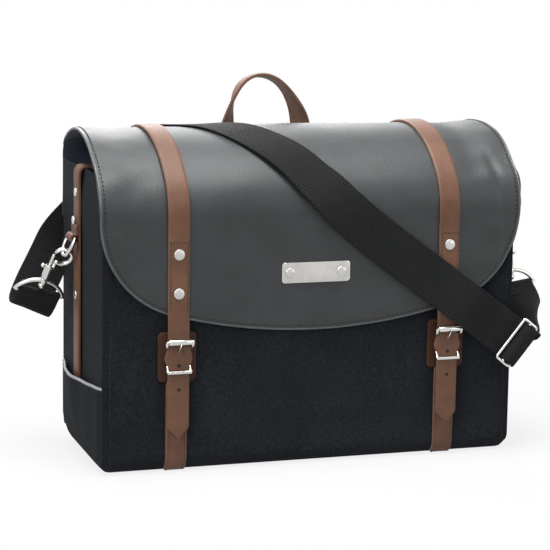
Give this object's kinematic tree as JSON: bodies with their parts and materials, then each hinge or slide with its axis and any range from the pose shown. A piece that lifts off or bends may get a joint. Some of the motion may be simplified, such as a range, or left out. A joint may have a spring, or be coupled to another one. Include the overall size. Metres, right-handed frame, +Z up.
{
  "type": "messenger bag",
  "caption": "Canvas messenger bag with a leather flap, two roller-buckle closure straps, a carrying handle and a hooked shoulder strap.",
  "frame": {"origin": "middle of the base, on the surface that it stands on", "axes": "+X to the right seen from the front, -Y out of the front, +Z up"},
  "size_m": [0.5182, 0.1841, 0.347],
  "materials": {
    "canvas": "matt waxed canvas",
    "lining": "matt",
    "board": "matt",
    "piping": "satin reflective",
    "flap_leather": "smooth, lightly creased",
    "brown_leather": "smooth, waxed",
    "nickel": "polished nickel",
    "webbing": "ribbed weave"
  },
  "bodies": {
    "bag": {"front_panel": "canvas", "back_panel": "canvas", "left_gusset": "canvas", "right_gusset": "canvas", "bottom_panel": "canvas", "left_side_pocket": "canvas", "right_side_pocket": "canvas", "lining": "lining", "flap_rear_lining": "lining", "base_board": "board", "back_board": "board", "left_pocket_piping": "piping", "right_pocket_piping": "piping", "flap_rear_roll": "flap_leather", "left_side_strap": "brown_leather", "right_side_strap": "brown_leather", "left_lower_strap": "brown_leather", "right_lower_strap": "brown_leather", "left_buckle_patch": "brown_leather", "right_buckle_patch": "brown_leather", "left_strap_anchor": "brown_leather", "right_strap_anchor": "brown_leather", "handle_tabs": "brown_leather", "left_side_rivets": "nickel", "right_side_rivets": "nickel", "left_snap_socket": "nickel", "right_snap_socket": "nickel", "left_swivel_loop": "nickel", "right_swivel_loop": "nickel", "webbing_back": "webbing", "webbing_return": "webbing"},
    "flap": {"flap_shell": "flap_leather", "flap_lining": "lining", "left_closure_strap": "brown_leather", "right_closure_strap": "brown_leather", "left_closure_rivets": "nickel", "right_closure_rivets": "nickel", "name_plate": "nickel", "name_plate_rivets": "nickel", "left_buckle_frame": "nickel", "right_buckle_frame": "nickel", "left_snap_stud": "nickel", "right_snap_stud": "nickel"},
    "left_roller": {"left_buckle_roller": "nickel"},
    "right_roller": {"right_buckle_roller": "nickel"},
    "left_prong": {"left_buckle_prong": "nickel"},
    "right_prong": {"right_buckle_prong": "nickel"},
    "handle": {"handle": "brown_leather"},
    "left_d_ring": {"left_d_ring": "nickel"},
    "right_d_ring": {"right_d_ring": "nickel"},
    "left_hook": {"left_snap_hook": "nickel", "left_bolt_spring": "nickel"},
    "right_hook": {"right_snap_hook": "nickel", "right_bolt_spring": "nickel"},
    "left_bolt": {"left_hook_bolt": "nickel"},
    "right_bolt": {"right_hook_bolt": "nickel"},
    "strap_front": {"webbing_front": "webbing"},
    "slider": {"slider": "nickel"}
  },
  "joints": [
    {"name": "flap_hinge", "type": "hinge", "parent": "bag", "child": "flap", "pos_m": [0, 0.035, 0.308], "axis": [-1, 0, 0], "range_deg": [0, 125], "deforming": ["webbing_front", "webbing_return"]},
    {"name": "strap_lift", "type": "hinge", "parent": "bag", "child": "strap_front", "pos_m": [-0.0984, 0.0643, 0.2995], "axis": [-0.8908, 0.1822, 0.4163], "range_deg": [0, 180], "deforming": ["webbing_front", "webbing_return"]},
    {"name": "slider_slide", "type": "slide", "parent": "strap_front", "child": "slider", "axis": [0.7738, 0, -0.6334], "range_m": [-0.03, 0], "deforming": ["webbing_front", "webbing_return"]},
    {"name": "handle_fold", "type": "hinge", "parent": "bag", "child": "handle", "pos_m": [0, 0.0843, 0.263], "axis": [-1, 0, 0], "range_deg": [0, 85]},
    {"name": "left_d_ring_swing", "type": "hinge", "parent": "bag", "child": "left_d_ring", "pos_m": [-0.20945, 0, 0.2075], "axis": [0, 1, 0], "range_deg": [-5, 5]},
    {"name": "left_swivel", "type": "hinge", "parent": "bag", "child": "left_hook", "pos_m": [-0.23189, 0.01695, 0.16539], "axis": [-0.2007, 0.5105, -0.8361], "range_deg": [-6, 6]},
    {"name": "left_bolt_slide", "type": "slide", "parent": "left_hook", "child": "left_bolt", "axis": [-0.2007, 0.5105, -0.8361], "range_m": [0, 0.007], "stiffness_N_per_m": 300, "springref_m": -0.003, "deforming": ["left_bolt_spring"]},
    {"name": "left_roller_spin", "type": "hinge", "parent": "flap", "child": "left_roller", "pos_m": [-0.131, -0.0866, 0.122], "axis": [1, 0, 0], "continuous": true},
    {"name": "left_prong_swing", "type": "hinge", "parent": "flap", "child": "left_prong", "pos_m": [-0.131, -0.07885, 0.108], "axis": [1, 0, 0], "range_deg": [0, 70]},
    {"name": "right_d_ring_swing", "type": "hinge", "parent": "bag", "child": "right_d_ring", "pos_m": [0.20945, 0, 0.2075], "axis": [0, -1, 0], "range_deg": [-5, 5]},
    {"name": "right_swivel", "type": "hinge", "parent": "bag", "child": "right_hook", "pos_m": [0.23026, -0.00232, 0.15967], "axis": [0.1474, -0.0698, -0.9866], "range_deg": [-6, 6]},
    {"name": "right_bolt_slide", "type": "slide", "parent": "right_hook", "child": "right_bolt", "axis": [0.1474, -0.0698, -0.9866], "range_m": [0, 0.007], "stiffness_N_per_m": 300, "springref_m": -0.003, "deforming": ["right_bolt_spring"]},
    {"name": "right_roller_spin", "type": "hinge", "parent": "flap", "child": "right_roller", "pos_m": [0.131, -0.0866, 0.122], "axis": [1, 0, 0], "continuous": true},
    {"name": "right_prong_swing", "type": "hinge", "parent": "flap", "child": "right_prong", "pos_m": [0.131, -0.07885, 0.108], "axis": [1, 0, 0], "range_deg": [0, 70]}
  ],
  "couplings": [
    {"joint": "strap_lift", "follows": "flap_hinge", "ratio": 1.44}
  ]
}
